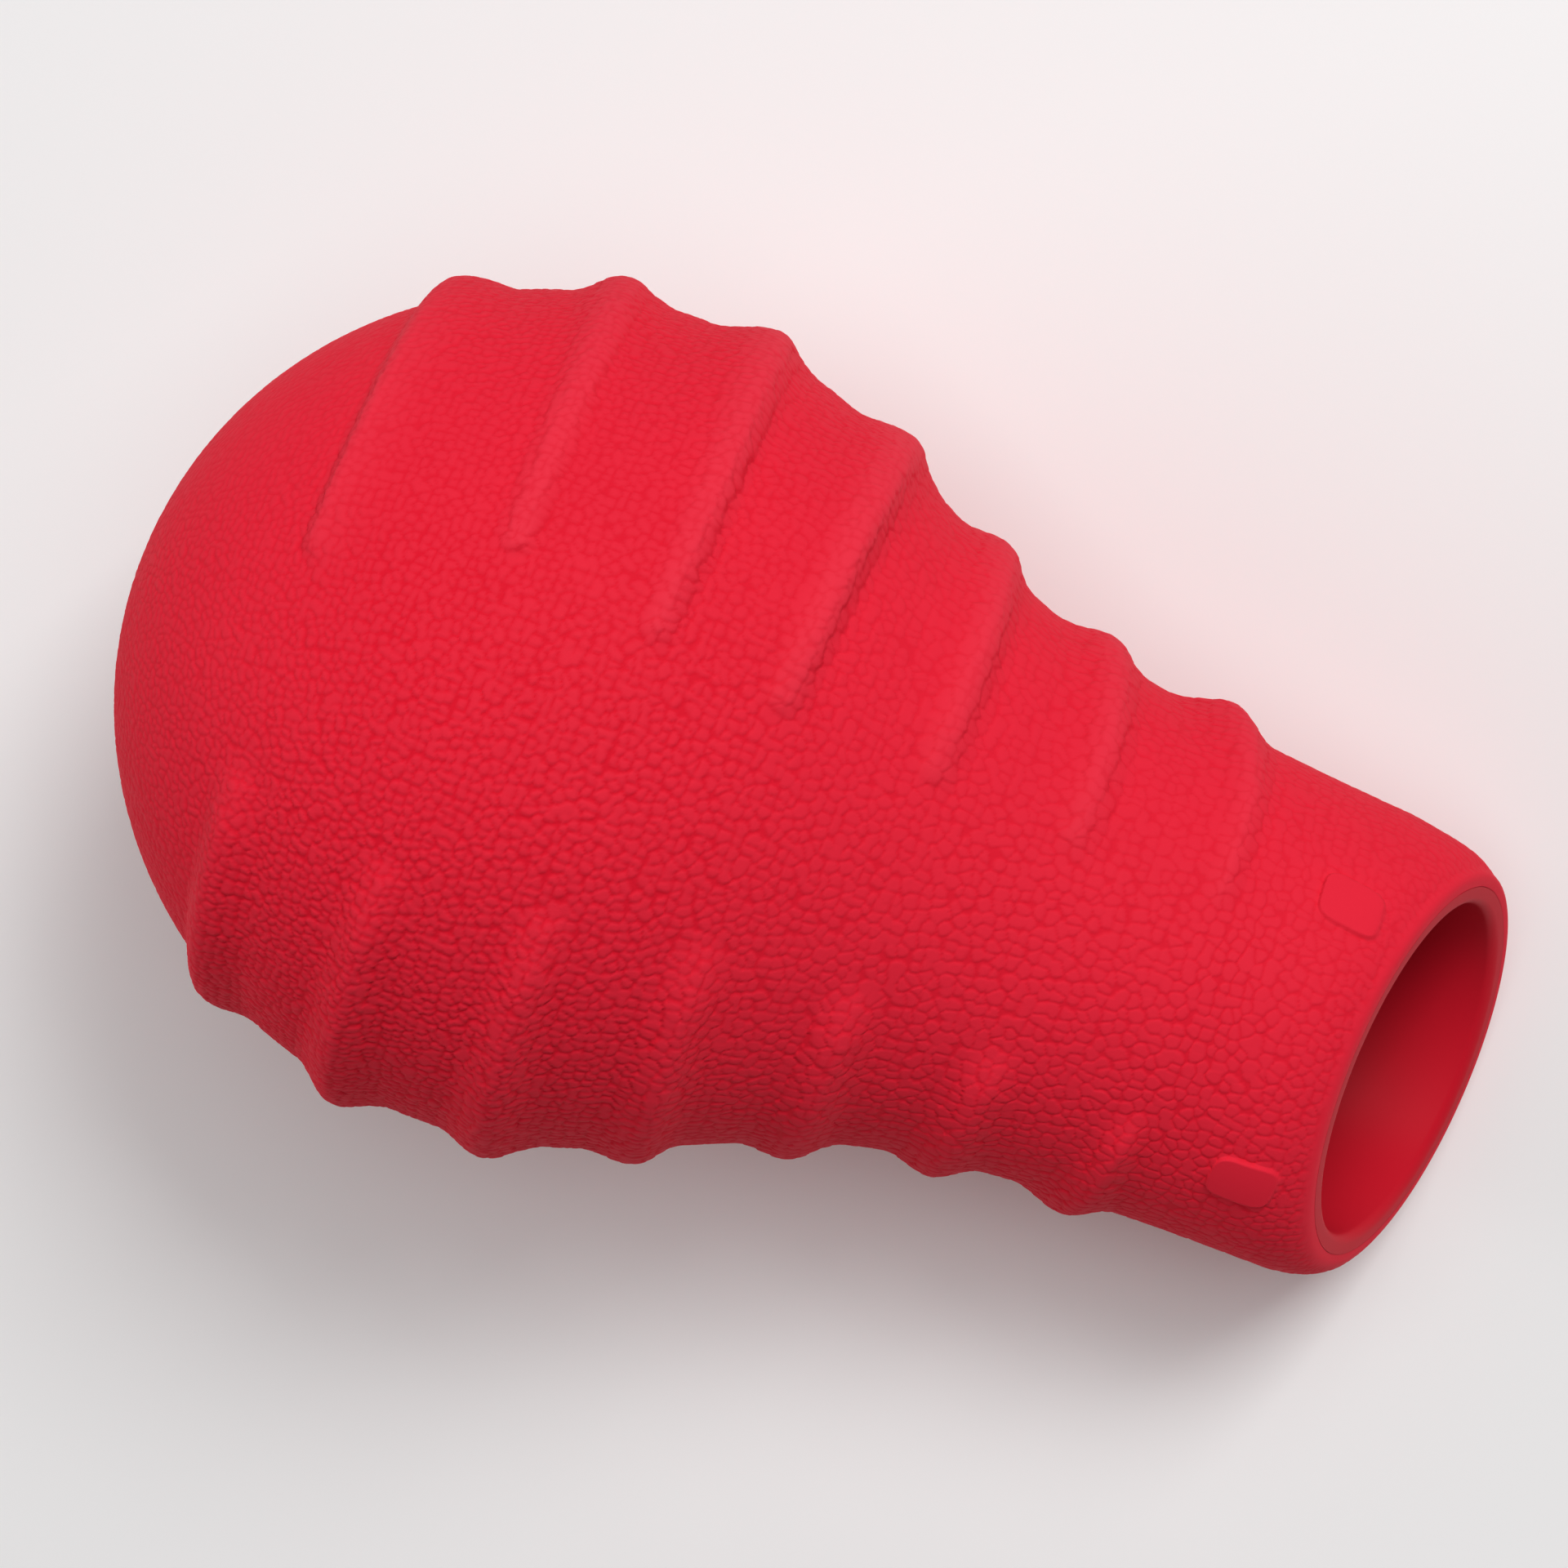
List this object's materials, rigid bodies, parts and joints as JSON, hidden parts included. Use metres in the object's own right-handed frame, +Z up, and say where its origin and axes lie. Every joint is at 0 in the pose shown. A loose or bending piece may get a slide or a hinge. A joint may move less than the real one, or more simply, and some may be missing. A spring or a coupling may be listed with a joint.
{
  "type": "dog chew toy",
  "caption": "Hollow bulb-shaped rubber chew toy with a tapered neck, soft side ribs, a slanted open mouth and a smooth inner lining.",
  "frame": {"origin": "centre of the bounding box in X and Y, on the floor that the toy lies on", "axes": "+X towards the open mouth, +Y to one fan of ribs, +Z up with the toy lying on its long-lipped side"},
  "size_m": [0.1734, 0.108, 0.1039],
  "materials": {
    "body_rubber": "matte, pebble-grained",
    "lining_rubber": "matte, smooth"
  },
  "bodies": {
    "root": {"outer_body": "body_rubber", "inner_liner": "lining_rubber"}
  },
  "joints": []
}
